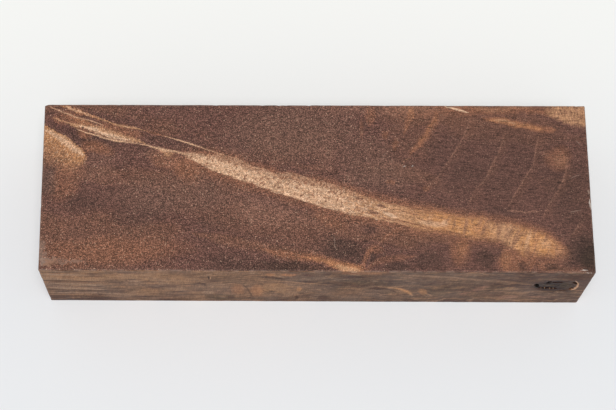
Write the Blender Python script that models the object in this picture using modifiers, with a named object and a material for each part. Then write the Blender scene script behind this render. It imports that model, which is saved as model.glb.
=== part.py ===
"""A stabilized walnut burl block, the resin-hardened billet that knife handles and turned goods are cut from.

It is one solid piece of wood: a sawn and sanded rectangular billet with broken edges, one chipped corner and a
round knot on its front face, whose rotten bark ring has left open pits of its own.

Metres, +Z up. X runs along the length, the face with the knot looks to -Y, and the origin is the middle of the
underside.
"""

import math

import bmesh
import bpy
from mathutils import Matrix, Vector

MM = 0.001

# Driving dimensions of the billet
LENGTH = 130.0 * MM
DEPTH = 41.8 * MM
HEIGHT = 26.0 * MM

# Sawing errors: the ends are a little out of square and the billet widens slightly towards +X
END_SKEW = 0.33 * MM
END_LEAN = 0.13 * MM
TAPER = 0.60 * MM

# The arrises are only broken with sandpaper
EDGE_ROUND = 0.30 * MM
EDGE_SEGMENTS = 3

# The chip that is missing from the back left corner of the top face
CHIP_LENGTH = 1.3 * MM
CHIP_WIDTH = 0.45 * MM
CHIP_DROP = 1.8 * MM

# Open pits of the bark ring round the knot, as seen on the front face:
# middle along X, middle above the underside, length, width, turn from level in degrees, depth
KNOT_PITS = {
    "left_pit": (52.75 * MM, 15.2 * MM, 3.0 * MM, 1.1 * MM, -72.0, 2.6 * MM),
    "lower_slot": (55.6 * MM, 12.9 * MM, 4.9 * MM, 1.3 * MM, -8.0, 2.2 * MM),
    "upper_slot": (55.3 * MM, 17.6 * MM, 2.3 * MM, 0.8 * MM, 70.0, 1.5 * MM),
    "top_slot": (57.3 * MM, 17.8 * MM, 2.6 * MM, 0.8 * MM, 4.0, 1.4 * MM),
    "right_pit": (61.65 * MM, 17.3 * MM, 2.6 * MM, 0.8 * MM, -65.0, 2.2 * MM),
    "right_foot": (61.5 * MM, 12.6 * MM, 1.7 * MM, 0.7 * MM, 80.0, 1.6 * MM),
}
PIT_SEGMENTS = 16
PIT_RINGS = 10

WOOD_COLOUR = (0.155, 0.082, 0.052, 1.0)
WOOD_ROUGHNESS = 0.5


def clear_scene():
    for obj in list(bpy.data.objects):
        bpy.data.objects.remove(obj, do_unlink=True)


def new_collection(name):
    collection = bpy.data.collections.new(name)
    bpy.context.scene.collection.children.link(collection)
    return collection


def move_to(obj, collection):
    for holder in list(obj.users_collection):
        holder.objects.unlink(obj)
    collection.objects.link(obj)


def wood_material():
    material = bpy.data.materials.new("stabilized_walnut")
    material.use_nodes = True
    shader = material.node_tree.nodes["Principled BSDF"]
    shader.inputs["Base Color"].default_value = WOOD_COLOUR
    shader.inputs["Roughness"].default_value = WOOD_ROUGHNESS
    shader.inputs["Metallic"].default_value = 0.0
    return material


def as_sawn(point):
    """Where a point of the perfect box lies on the real billet. Flat faces stay flat."""
    along, across, up = point.x / LENGTH, point.y / DEPTH, point.z / HEIGHT
    return Vector(
        (
            point.x - END_SKEW * across + END_LEAN * (up - 0.5),
            point.y + TAPER * across * along,
            point.z,
        )
    )


def make_billet(collection):
    """The rectangular billet with its broken edges."""
    bpy.ops.mesh.primitive_cube_add(size=1.0)
    billet = bpy.context.active_object
    billet.name = "walnut_burl_block"
    billet.data.name = billet.name
    size_and_place = Matrix.Translation((0.0, 0.0, HEIGHT / 2)) @ Matrix.Diagonal((LENGTH, DEPTH, HEIGHT, 1.0))
    billet.data.transform(size_and_place)
    for vertex in billet.data.vertices:
        vertex.co = as_sawn(vertex.co)
    billet.data.materials.append(wood_material())
    move_to(billet, collection)

    edges = billet.modifiers.new("broken_edges", "BEVEL")
    edges.width = EDGE_ROUND
    edges.segments = EDGE_SEGMENTS
    edges.limit_method = "ANGLE"
    return billet


def as_cutter(obj, collection):
    obj.hide_render = True
    obj.display_type = "WIRE"
    move_to(obj, collection)
    return obj


def make_chip_cutter(collection):
    """A cube with one face through the three points where the missing chip ends."""
    corner = as_sawn(Vector((-LENGTH / 2, DEPTH / 2, HEIGHT)))
    on_end_face = corner - Vector((0.0, CHIP_WIDTH, 0.0))
    on_back_face = corner + Vector((CHIP_LENGTH, 0.0, 0.0))
    below_corner = corner - Vector((0.0, 0.0, CHIP_DROP))
    outward = (on_back_face - on_end_face).cross(below_corner - on_end_face).normalized()
    side = 3 * max(CHIP_LENGTH, CHIP_DROP)
    bpy.ops.mesh.primitive_cube_add(size=side)
    cutter = bpy.context.active_object
    cutter.name = "corner_chip_cutter"
    middle = (on_end_face + on_back_face + below_corner) / 3 + outward * side / 2
    turned = outward.to_track_quat("Y", "Z").to_matrix().to_4x4()
    cutter.data.transform(Matrix.Translation(middle) @ turned)
    return as_cutter(cutter, collection)


def make_pit_cutter(name, pit, collection):
    """An ellipsoid sunk half into the front face, turned about the face's normal."""
    middle_x, middle_z, length, width, turn, depth = pit
    mesh = bpy.data.meshes.new(name + "_cutter")
    shape = bmesh.new()
    bmesh.ops.create_uvsphere(shape, u_segments=PIT_SEGMENTS, v_segments=PIT_RINGS, radius=1.0)
    shape.to_mesh(mesh)
    shape.free()
    cutter = bpy.data.objects.new(name + "_cutter", mesh)
    bpy.context.scene.collection.objects.link(cutter)
    face = as_sawn(Vector((middle_x, -DEPTH / 2, middle_z)))
    size = Matrix.Diagonal((length / 2, depth, width / 2, 1.0))
    turned = Matrix.Rotation(-math.radians(turn), 4, "Y")
    mesh.transform(Matrix.Translation(face) @ turned @ size)
    return as_cutter(cutter, collection)


def cut(billet, cutter):
    boolean = billet.modifiers.new("cut_" + cutter.name, "BOOLEAN")
    boolean.operation = "DIFFERENCE"
    boolean.solver = "EXACT"
    boolean.object = cutter


def main():
    clear_scene()
    parts = new_collection("walnut_burl_block")
    cutters = new_collection("cutters")
    billet = make_billet(parts)
    cut(billet, make_chip_cutter(cutters))
    for name, pit in KNOT_PITS.items():
        cut(billet, make_pit_cutter(name, pit, cutters))


main()
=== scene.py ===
"""The looks of the stabilized walnut burl block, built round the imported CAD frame.

The wood's figure is described in millimetres on two flat maps. The top map is x along the length, y across.
The front map is x along the length and z above the underside. The other sides carry the top map on downwards,
bent inwards and warped, as the growth layers would run.
"""
import math

import bpy
import numpy as np
from mathutils import Matrix, Vector


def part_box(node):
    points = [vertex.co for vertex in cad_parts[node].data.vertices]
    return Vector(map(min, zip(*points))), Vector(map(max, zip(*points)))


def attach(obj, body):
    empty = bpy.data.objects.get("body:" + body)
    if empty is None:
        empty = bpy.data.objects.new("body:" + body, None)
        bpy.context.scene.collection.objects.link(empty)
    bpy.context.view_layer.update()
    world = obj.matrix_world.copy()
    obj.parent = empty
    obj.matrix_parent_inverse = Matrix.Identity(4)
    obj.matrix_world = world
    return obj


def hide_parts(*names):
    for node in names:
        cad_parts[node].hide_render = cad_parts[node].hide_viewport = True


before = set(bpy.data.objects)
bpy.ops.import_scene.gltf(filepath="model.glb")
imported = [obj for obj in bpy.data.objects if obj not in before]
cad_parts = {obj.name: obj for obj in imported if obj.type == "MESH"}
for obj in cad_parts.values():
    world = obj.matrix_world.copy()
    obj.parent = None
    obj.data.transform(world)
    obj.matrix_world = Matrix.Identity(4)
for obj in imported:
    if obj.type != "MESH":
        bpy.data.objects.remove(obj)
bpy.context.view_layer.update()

MM = 0.001
NODE = "walnut_burl_block"

# Sawing errors, as in the CAD part: ends out of square, a slight taper along the length
END_SKEW = 0.33
END_LEAN = 0.13
TAPER = 0.60

# The true billet without the sawing errors, in millimetres
LOWEST, HIGHEST = (Vector(corner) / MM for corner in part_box(NODE))
HALF_LENGTH = (HIGHEST.x - LOWEST.x - END_SKEW - END_LEAN) / 2
HALF_DEPTH = (HIGHEST.y - LOWEST.y - TAPER / 2) / 2
HEIGHT = HIGHEST.z - LOWEST.z

# Grid of the block's mesh
CELL = 0.8
KNOT_CELL = 0.16
KNOT_X = (52.0, 63.4)
KNOT_Z = (10.8, 20.0)
EDGE_LINES = (0.0, 0.10, 0.22, 0.36, 0.58, 0.95)
EDGE_ROUND = 0.30

# Depth of the nicks along the edges, and of the broad and fine waver of the sanded faces
NICK_DEPTH = 0.16
WAVER_DEPTH = 0.03
RIPPLE_DEPTH = 0.008

# Space between the sides on the flat unwrapping
UNWRAPPING_GAP = 2.0

# The chip missing from the back left corner: along the back, along the end, down the corner
CHIP = (1.3, 0.45, 1.8)
CHIP_ROUGHNESS = 0.06
CHIP_REACH = 3

# Open pits round the knot on the front map: x, z, length, width, turn in degrees, depth
KNOT_PITS = (
    (52.75, 15.2, 3, 1.1, -72, 2.6),
    (55.6, 12.9, 4.9, 1.3, -8, 2.2),
    (55.3, 17.6, 2.3, 0.8, 70, 1.5),
    (57.3, 17.8, 2.6, 0.8, 4, 1.4),
    (61.65, 17.3, 2.6, 0.8, -65, 2.2),
    (61.5, 12.6, 1.7, 0.7, 80, 1.6),
)
PIT_EDGE_WAVER = 0.16
KNOT_MIDDLE = (57.4, 15.0)
KNOT_RADII = (5.6, 4.8)
KNOT_HEART = (59.3, 15.2)
# How far the knot's core is sunk everywhere, and how much further at its deepest
CORE_SINK = 0.05
CORE_ROUGHNESS = 0.13

# Colours as they look under the studio light, 0 to 255
COLOURS = {
    "black": (38, 31, 27),
    "soot": (63, 53, 47),
    "dark": (84, 65, 59),
    "shade": (98, 73, 66),
    "ground": (109, 79, 71),
    "plum": (104, 74, 68),
    "grey": (99, 81, 73),
    "russet": (121, 87, 73),
    "rust": (140, 97, 77),
    "tan": (152, 112, 89),
    "orange": (174, 122, 90),
    "amber": (194, 139, 95),
    "gold": (190, 144, 110),
    "cream": (205, 163, 132),
    "pale": (226, 188, 158),
    "scuff": (165, 142, 128),
    "white": (226, 214, 204),
    "rose": (142, 105, 90),
    "haze": (118, 89, 78),
    "olive": (95, 79, 66),
    "mauve": (100, 81, 71),
    "drab": (124, 97, 80),
    "honey": (152, 117, 91),
    "fawn": (152, 124, 104),
}
# What a pale, dust-filled pore adds to the wood's own colour
PORE_GLOW = (0.56, 0.35, 0.235, 1.0)
# Strength of the wood's gloss, on the shader's scale from 0 to 1
SPECULAR_LEVEL = 0.2
# About what share of the studio light a white face sends back, and what its gloss adds: top, then front
TOP_LIGHT = (0.96, 0.015)
FRONT_LIGHT = (0.69, 0.037)
# The darkest paint used
DARKEST = 0.003
# Fine relief of the wood
BUMP_STRENGTH = 0.35
BUMP_DEPTH = 0.06 * MM

# How the top map is drawn in on its way down to the underside: shorter, narrower, and its drift sideways
MAP_SHORTER = 0.25
MAP_NARROWER = 0.45
MAP_DRIFT = (3.9, -5.2)

# Studio light: strength, spread and lean of the sun in degrees, and the even light from all round
SUN_STRENGTH = 2.2
SUN_SPREAD = 26
SUN_LEAN = 14
SUN_COLOUR = (1.0, 0.985, 0.96)
SKY_STRENGTH = 0.31
SKY_COLOUR = (0.96, 0.98, 1.0, 1.0)
# The pale floor, painted darker and bluer in front of the block as painted shade, and brighter behind it as
# painted light
FLOOR_NEAR_SHADED = (0.85, 0.87, 0.9, 1.0)
FLOOR_FAR_LIT = (0.95, 0.96, 0.945, 1.0)
FLOOR_SIZE = 6.0

# The camera's place in millimetres, its turns in degrees, its lens and sensor
CAMERA_PLACE = (-10.3, -134.6, 408.0)
CAMERA_TURN = -3.63
CAMERA_TILT = 18.84
CAMERA_ROLL = 3.65
CAMERA_LENS = 100
CAMERA_SENSOR = 36


def display_to_linear(value):
    """Turns a display value from 0 to 255 into the light it stands for."""
    share = value / 255
    return share / 12.92 if share <= 0.04045 else ((share + 0.055) / 1.055) ** 2.4


def paint(name, light):
    """The surface colour that looks like the named colour on a face lit that way."""
    white, gloss = light
    seen = [display_to_linear(value) for value in COLOURS[name]]
    return tuple(max(DARKEST, (value - gloss) / white) for value in seen) + (1.0,)


# Mesh


def grid_lines(low, high, fine=None):
    """Places of the grid lines between two edges, closer at the edges and in the fine stretch."""
    inner_low, inner_high = low + EDGE_LINES[-1], high - EDGE_LINES[-1]
    stops = [inner_low, *(fine or ()), inner_high]
    cells = [CELL, KNOT_CELL, CELL] if fine else [CELL]
    places = [low + offset for offset in EDGE_LINES[:-1]]
    for start, stop, cell in zip(stops, stops[1:], cells):
        count = max(1, round((stop - start) / cell))
        places += list(np.linspace(start, stop, count, endpoint=False))
    places += [high - offset for offset in reversed(EDGE_LINES)]
    return np.array(places)


def lattice_value(corner, seed):
    """A repeatable number from 0 to 1 for each whole-number corner."""
    mixed = corner[..., 0] * 127.1 + corner[..., 1] * 311.7 + corner[..., 2] * 74.7 + seed * 53.3
    return np.modf(np.abs(np.sin(mixed) * 43758.5453))[0]


def smooth_noise(points, size, seed):
    """Soft random values from -1 to 1 that change over the given distance."""
    scaled = points / size
    cell = np.floor(scaled)
    part = scaled - cell
    part = part * part * (3 - 2 * part)
    total = np.zeros(len(points))
    for step in np.ndindex(2, 2, 2):
        share = np.prod(np.where(step, part, 1 - part), axis=1)
        total += share * lattice_value(cell + step, seed)
    return total * 2 - 1


def smooth_step(low, high, value):
    """Rises softly from 0 at the low value to 1 at the high one."""
    share = np.clip((value - low) / (high - low), 0, 1)
    return share * share * (3 - 2 * share)


def round_edges(points):
    """Pulls the sharp edges of the box in to a small uneven radius."""
    half = np.array([HALF_LENGTH, HALF_DEPTH, HEIGHT / 2])
    centred = points - [0, 0, HEIGHT / 2]
    radius = EDGE_ROUND * (1 + 0.35 * smooth_noise(points, 3.0, 1) + 0.25 * smooth_noise(points, 0.9, 2))
    radius = radius[:, None]
    core = np.clip(centred, radius - half, half - radius)
    outward = centred - core
    reach = np.linalg.norm(outward, axis=1, keepdims=True)
    edge = (np.abs(outward) > 1e-6).sum(axis=1, keepdims=True) > 1
    rounded = core + outward / np.maximum(reach, 1e-9) * radius
    return np.where(edge, rounded, centred) + [0, 0, HEIGHT / 2]


def edge_distance(points):
    """How far each point of the surface is from the nearest edge of the box."""
    gaps = np.stack(
        [
            HALF_LENGTH - np.abs(points[:, 0]),
            HALF_DEPTH - np.abs(points[:, 1]),
            HEIGHT / 2 - np.abs(points[:, 2] - HEIGHT / 2),
        ],
        axis=1,
    )
    return np.sort(gaps, axis=1)[:, 1]


def inward(points):
    """The direction straight into the block from the face or edge at each surface point, of length one."""
    half = np.array([HALF_LENGTH, HALF_DEPTH, HEIGHT / 2])
    centred = points - [0, 0, HEIGHT / 2]
    near = np.maximum(np.abs(centred) - (half - 1.0), 0) * np.sign(centred)
    return -near / np.maximum(np.linalg.norm(near, axis=1, keepdims=True), 1e-9)


def nick_edges(points):
    """Small dents along the edges, deepest on the edge itself."""
    noise = smooth_noise(points, 1.7, 5) * 0.6 + smooth_noise(points, 0.6, 6) * 0.4
    dent = smooth_step(0.35, 0.9, noise) * NICK_DEPTH
    reach = smooth_step(0.9, 0.0, edge_distance(points))
    return points + inward(points) * (dent * reach)[:, None]


def waver(points):
    """The sanded faces aren't perfectly flat. They only ever dip inwards."""
    broad = WAVER_DEPTH * (smooth_noise(points, 16.0, 8) + 1) / 2
    fine = RIPPLE_DEPTH * (smooth_noise(points, 3.5, 9) + 1) / 2
    away = smooth_step(0.2, 2.0, edge_distance(points))
    return points + inward(points) * ((broad + fine) * away)[:, None]


def pit_depth(x, z):
    """Depth of the knot's pits and of its rough core at places on the front map."""
    places = np.stack([x, np.zeros_like(x), z], axis=1)
    depth = np.zeros_like(x)
    for number, (middle_x, middle_z, length, width, turn, deep) in enumerate(KNOT_PITS):
        angle = math.radians(turn)
        along = (x - middle_x) * math.cos(angle) + (z - middle_z) * math.sin(angle)
        across = (z - middle_z) * math.cos(angle) - (x - middle_x) * math.sin(angle)
        across = across + PIT_EDGE_WAVER * smooth_noise(places, 0.7, 20 + number)
        spread = (along / (length / 2)) ** 2 + (across / (width / 2)) ** 2
        depth = np.maximum(depth, deep * np.sqrt(np.clip(1 - spread, 0, 1)))
    away = ((x - KNOT_MIDDLE[0]) / KNOT_RADII[0]) ** 2 + ((z - KNOT_MIDDLE[1]) / KNOT_RADII[1]) ** 2
    rough = 0.5 + 0.5 * smooth_noise(places, 0.8, 31) + 0.3 * smooth_noise(places, 0.35, 32)
    core = smooth_step(1.0, 0.75, away) * (CORE_SINK + CORE_ROUGHNESS * np.clip(rough, 0, 1))
    return np.maximum(depth, core)


def sink_knot(points, on_front):
    """Pushes the pits and the rough core of the knot into the front face."""
    x, z = points[:, 0], points[:, 2]
    near = on_front & (x > KNOT_X[0]) & (x < KNOT_X[1]) & (z > KNOT_Z[0] - 1) & (z < KNOT_Z[1] + 1)
    points[near, 1] += pit_depth(x[near], z[near])
    return points


def saw(points):
    """Moves points of the perfect box to where the real billet has them."""
    along = points[:, 0] / (2 * HALF_LENGTH)
    across = points[:, 1] / (2 * HALF_DEPTH)
    up = points[:, 2] / HEIGHT
    moved = points.copy()
    moved[:, 0] += -END_SKEW * across + END_LEAN * (up - 0.5)
    moved[:, 1] += TAPER * across * along
    return moved


def break_corner(points):
    """Takes the missing chip off the back left corner of the top face."""
    corner = saw(np.array([[-HALF_LENGTH, HALF_DEPTH, HEIGHT]]))[0]
    along_back, along_end, down = CHIP
    on_end = corner - [0, along_end, 0]
    outward = np.cross([along_back, along_end, 0], [0, along_end, -down])
    outward = outward / np.linalg.norm(outward)
    rough = CHIP_ROUGHNESS * smooth_noise(points, 0.5, 41)
    over = np.maximum((points - on_end) @ outward + rough, 0)
    near = np.linalg.norm(points - corner, axis=1) < CHIP_REACH
    return points - (over * near)[:, None] * outward


def shell_of_box(counts):
    """Numbers the grid points on the box's surface, and lists their places on the grid."""
    inside = np.zeros(counts, bool)
    inside[1:-1, 1:-1, 1:-1] = True
    numbers = np.full(counts, -1)
    numbers[~inside] = np.arange((~inside).sum())
    return numbers, np.argwhere(~inside)


def side_quads(sheet, flip):
    """Quads of one side from its sheet of point numbers."""
    corners = [sheet[:-1, :-1], sheet[1:, :-1], sheet[1:, 1:], sheet[:-1, 1:]]
    if flip:
        corners.reverse()
    return np.stack([corner.ravel() for corner in corners], axis=1)


def make_block():
    """The whole block as one closed mesh, with a flat unwrapping of its six sides."""
    x_lines = grid_lines(-HALF_LENGTH, HALF_LENGTH, KNOT_X)
    y_lines = grid_lines(-HALF_DEPTH, HALF_DEPTH)
    z_lines = grid_lines(0.0, HEIGHT, KNOT_Z)
    numbers, places = shell_of_box((len(x_lines), len(y_lines), len(z_lines)))
    flat = np.stack([x_lines[places[:, 0]], y_lines[places[:, 1]], z_lines[places[:, 2]]], axis=1)

    points = nick_edges(waver(round_edges(flat)))
    points = sink_knot(points, places[:, 1] == 0)
    points = break_corner(saw(points))

    # Each side: its sheet of points, whether its quads turn over, its map axes, its place on the unwrapping
    gap = UNWRAPPING_GAP
    length, depth = 2 * HALF_LENGTH, 2 * HALF_DEPTH
    rows = np.cumsum([gap, depth + gap, depth + gap, HEIGHT + gap])
    sides = (
        (numbers[:, :, -1], False, (0, 1), (gap, rows[0])),
        (numbers[:, :, 0], True, (0, 1), (gap, rows[1])),
        (numbers[:, 0, :], False, (0, 2), (gap, rows[2])),
        (numbers[:, -1, :], True, (0, 2), (gap, rows[3])),
        (numbers[0, :, :], True, (2, 1), (length + 2 * gap, rows[0])),
        (numbers[-1, :, :], False, (2, 1), (length + 2 * gap, rows[1])),
    )
    sheet_size = length + HEIGHT + 3 * gap
    quads, map_places = [], []
    for sheet, flip, axes, (left, bottom) in sides:
        side = side_quads(sheet, flip)
        quads.append(side)
        spots = flat[side.ravel()][:, axes]
        map_places.append((spots - flat[:, axes].min(axis=0) + [left, bottom]) / sheet_size)

    mesh = bpy.data.meshes.new("burl_block")
    mesh.from_pydata((points * MM).tolist(), [], np.concatenate(quads).tolist())
    unwrapping = mesh.uv_layers.new(name="OFBake")
    unwrapping.data.foreach_set("uv", np.concatenate(map_places).ravel())
    mesh.shade_smooth()
    mesh.validate()
    block = bpy.data.objects.new("burl_block", mesh)
    bpy.context.scene.collection.objects.link(block)
    return block


# Shading


SOCKET_KINDS = {"VALUE": "NodeSocketFloat", "VECTOR": "NodeSocketVector", "RGBA": "NodeSocketColor"}


def new_material(name):
    material = bpy.data.materials.new(name)
    material.use_nodes = True
    return material


class Shading:
    """Writes a node tree. Each call adds nodes and returns the socket with the result."""

    def __init__(self, tree, light=TOP_LIGHT):
        self.tree = tree
        self.light = light

    def layer(self, name, build, *sources, light=None):
        """Adds a node group. The given function builds it from sockets of its own that carry the sources."""
        group = bpy.data.node_groups.new(name, "ShaderNodeTree")
        for number, source in enumerate(sources):
            kind = SOCKET_KINDS[source.type]
            group.interface.new_socket(f"in_{number}", in_out="INPUT", socket_type=kind)
        entry = group.nodes.new("NodeGroupInput")
        results = build(Shading(group, light or self.light), *entry.outputs[: len(sources)])
        results = results if isinstance(results, tuple) else (results,)
        for number, result in enumerate(results):
            kind = SOCKET_KINDS[result.type]
            group.interface.new_socket(f"out_{number}", in_out="OUTPUT", socket_type=kind)
        way_out = group.nodes.new("NodeGroupOutput")
        for result, socket in zip(results, way_out.inputs):
            group.links.new(result, socket)
        node = self.add("ShaderNodeGroup", {}, node_tree=group)
        for socket, source in zip(node.inputs, sources):
            self.tree.links.new(source, socket)
        outputs = tuple(node.outputs)
        return outputs if len(outputs) > 1 else outputs[0]

    def feed(self, socket, value):
        if isinstance(value, bpy.types.NodeSocket):
            self.tree.links.new(value, socket)
        else:
            socket.default_value = value

    def add(self, kind, inputs, **settings):
        node = self.tree.nodes.new(kind)
        for name, value in settings.items():
            setattr(node, name, value)
        for name, value in inputs.items():
            self.feed(node.inputs[name], value)
        return node

    def math(self, operation, *values):
        return self.add("ShaderNodeMath", dict(enumerate(values)), operation=operation).outputs[0]

    def times(self, one, other):
        return self.math("MULTIPLY", one, other)

    def minus(self, one, other):
        return self.math("SUBTRACT", one, other)

    def vector(self, operation, *values, scale=None):
        inputs = dict(enumerate(values))
        if scale is not None:
            inputs["Scale"] = scale
        node = self.add("ShaderNodeVectorMath", inputs, operation=operation)
        return node.outputs["Value" if operation in ("LENGTH", "DOT_PRODUCT") else "Vector"]

    def join(self, x, y, z):
        return self.add("ShaderNodeCombineXYZ", {0: x, 1: y, 2: z}).outputs[0]

    def split(self, value):
        return self.add("ShaderNodeSeparateXYZ", {0: value}).outputs[:]

    def split_colour(self, value):
        return self.add("ShaderNodeSeparateColor", {0: value}).outputs[:]

    def ramp(self, value, start, stop, low=0.0, high=1.0):
        """Turns start..stop into low..high, with soft ends."""
        inputs = {"Value": value, "From Min": start, "From Max": stop, "To Min": low, "To Max": high}
        node = self.add("ShaderNodeMapRange", inputs, interpolation_type="SMOOTHSTEP", clamp=False)
        return node.outputs[0]

    def mix(self, below, above, amount, blend="MIX"):
        """One colour over another."""
        node = self.tree.nodes.new("ShaderNodeMix")
        node.data_type = "RGBA"
        node.blend_type = blend
        self.feed(node.inputs[0], amount)
        self.feed(node.inputs[6], below)
        self.feed(node.inputs[7], above)
        return node.outputs[2]

    def stretch(self, place, size, turn=0.0, shift=(0.0, 0.0, 0.0), flat="z"):
        """Place measured in lengths of the given size, turned in degrees about one axis."""
        turns = {"z": (0, 0, math.radians(turn)), "y": (0, -math.radians(turn), 0)}
        inputs = {"Vector": place, "Location": shift, "Rotation": turns[flat], "Scale": size}
        return self.add("ShaderNodeMapping", inputs, vector_type="TEXTURE").outputs[0]

    def noise(self, place, size, turn=0.0, shift=(0.0, 0.0, 0.0), detail=2.0, rough=0.5, flat="z"):
        size = size if isinstance(size, tuple) else (size,) * 3
        where = self.stretch(place, size, turn, shift, flat)
        inputs = {"Vector": where, "Scale": 1.0, "Detail": detail, "Roughness": rough}
        return self.add("ShaderNodeTexNoise", inputs).outputs["Fac"]

    def noise_shift(self, place, size, reach, shift=(0.0, 0.0, 0.0), detail=2.0):
        """Place pushed about at random, by up to half the reach each way."""
        where = self.stretch(place, (size,) * 3, shift=shift)
        inputs = {"Vector": where, "Scale": 1.0, "Detail": detail}
        colour = self.add("ShaderNodeTexNoise", inputs).outputs["Color"]
        middle = self.vector("SUBTRACT", self.join(*self.split_colour(colour)), (0.5, 0.5, 0.5))
        return self.vector("ADD", place, self.vector("SCALE", middle, scale=reach))

    def specks(self, place, size, share, radius, shift=(0.0, 0.0, 0.0), turn=0.0, flat="z"):
        """Small dots of uneven size, in that share of the cells."""
        size = size if isinstance(size, tuple) else (size,) * 3
        where = self.stretch(place, size, turn, shift, flat)
        cells = self.add("ShaderNodeTexVoronoi", {"Vector": where, "Scale": 1.0})
        chance = self.split_colour(cells.outputs["Color"])[0]
        reach = self.ramp(chance, 1.0 - share, 1.0, 0.0, radius)
        near = self.math("DIVIDE", cells.outputs["Distance"], self.math("MAXIMUM", reach, 0.001))
        return self.ramp(near, 1.0, 0.35)

    def curve(self, along, points, handle="AUTO"):
        """A smooth curve through given points of place and value."""
        places = [place for place, _ in points]
        values = [value for _, value in points]
        low, high = min(values), max(values)
        margin = max(0.2 * (high - low), 0.01)
        low, high = low - margin, high + margin
        inputs = {"Value": along, "From Min": places[0], "From Max": places[-1]}
        share = self.add("ShaderNodeMapRange", inputs, clamp=False).outputs[0]
        node = self.add("ShaderNodeFloatCurve", {"Value": share})
        node.mapping.extend = "HORIZONTAL"
        line = node.mapping.curves[0]
        while len(line.points) < len(points):
            line.points.new(0.5, 0.5)
        for spot, place, value in zip(line.points, places, values):
            spot.location = ((place - places[0]) / (places[-1] - places[0]), (value - low) / (high - low))
            spot.handle_type = handle
        node.mapping.update()
        return self.math("MULTIPLY_ADD", node.outputs[0], high - low, low)

    def strand(self, x, y, points, core=0.0, strength=1.0):
        """A streak along given points of x, y and half width, tapering to nothing at both ends."""
        if abs(points[-1][0] - points[0][0]) >= abs(points[-1][1] - points[0][1]):
            along, across = x, y
            rows = sorted(points)
        else:
            along, across = y, x
            rows = sorted((py, px, half) for px, py, half in points)
        middle = self.curve(along, [(place, value) for place, value, _ in rows])
        widths = [(place, half) for place, _, half in rows]
        widths[0] = (widths[0][0], 0.0)
        widths[-1] = (widths[-1][0], 0.0)
        half = self.math("MAXIMUM", self.curve(along, widths, "AUTO_CLAMPED"), 0.004)
        gap = self.math("ADD", self.math("ABSOLUTE", self.minus(across, middle)), 0.01)
        return self.ramp(self.math("DIVIDE", gap, half), 1.0, core, 0.0, strength)

    def weighted(self, x, x_share, y, y_share, extra):
        """x times its share, plus y times its share, plus the extra."""
        total = self.math("MULTIPLY_ADD", x, x_share, extra)
        return self.math("MULTIPLY_ADD", y, y_share, total)

    def patch(self, x, y, middle, radii, turn=0.0, core=0.05, strength=1.0):
        """A soft-edged ellipse."""
        cosine, sine = math.cos(math.radians(turn)), math.sin(math.radians(turn))
        middle_along = (middle[0] * cosine + middle[1] * sine) / radii[0]
        middle_across = (middle[1] * cosine - middle[0] * sine) / radii[1]
        along = self.weighted(x, cosine / radii[0], y, sine / radii[0], -middle_along)
        across = self.weighted(x, -sine / radii[1], y, cosine / radii[1], -middle_across)
        away = self.math("MULTIPLY_ADD", across, across, self.times(along, along))
        return self.ramp(away, 1.0, core, 0.0, strength)

    def paint(self, name):
        return paint(name, self.light)

    def cover(self, colour, name, amount):
        """Lays a named colour over what is there."""
        return self.mix(colour, self.paint(name), amount)

    def brighten(self, colour, factor):
        grey = self.add("ShaderNodeCombineColor", {0: factor, 1: factor, 2: factor}).outputs[0]
        return self.mix(colour, grey, 1.0, "MULTIPLY")


# Each patch on a map: colour, strength, middle, half length, half width, turn in degrees

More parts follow.
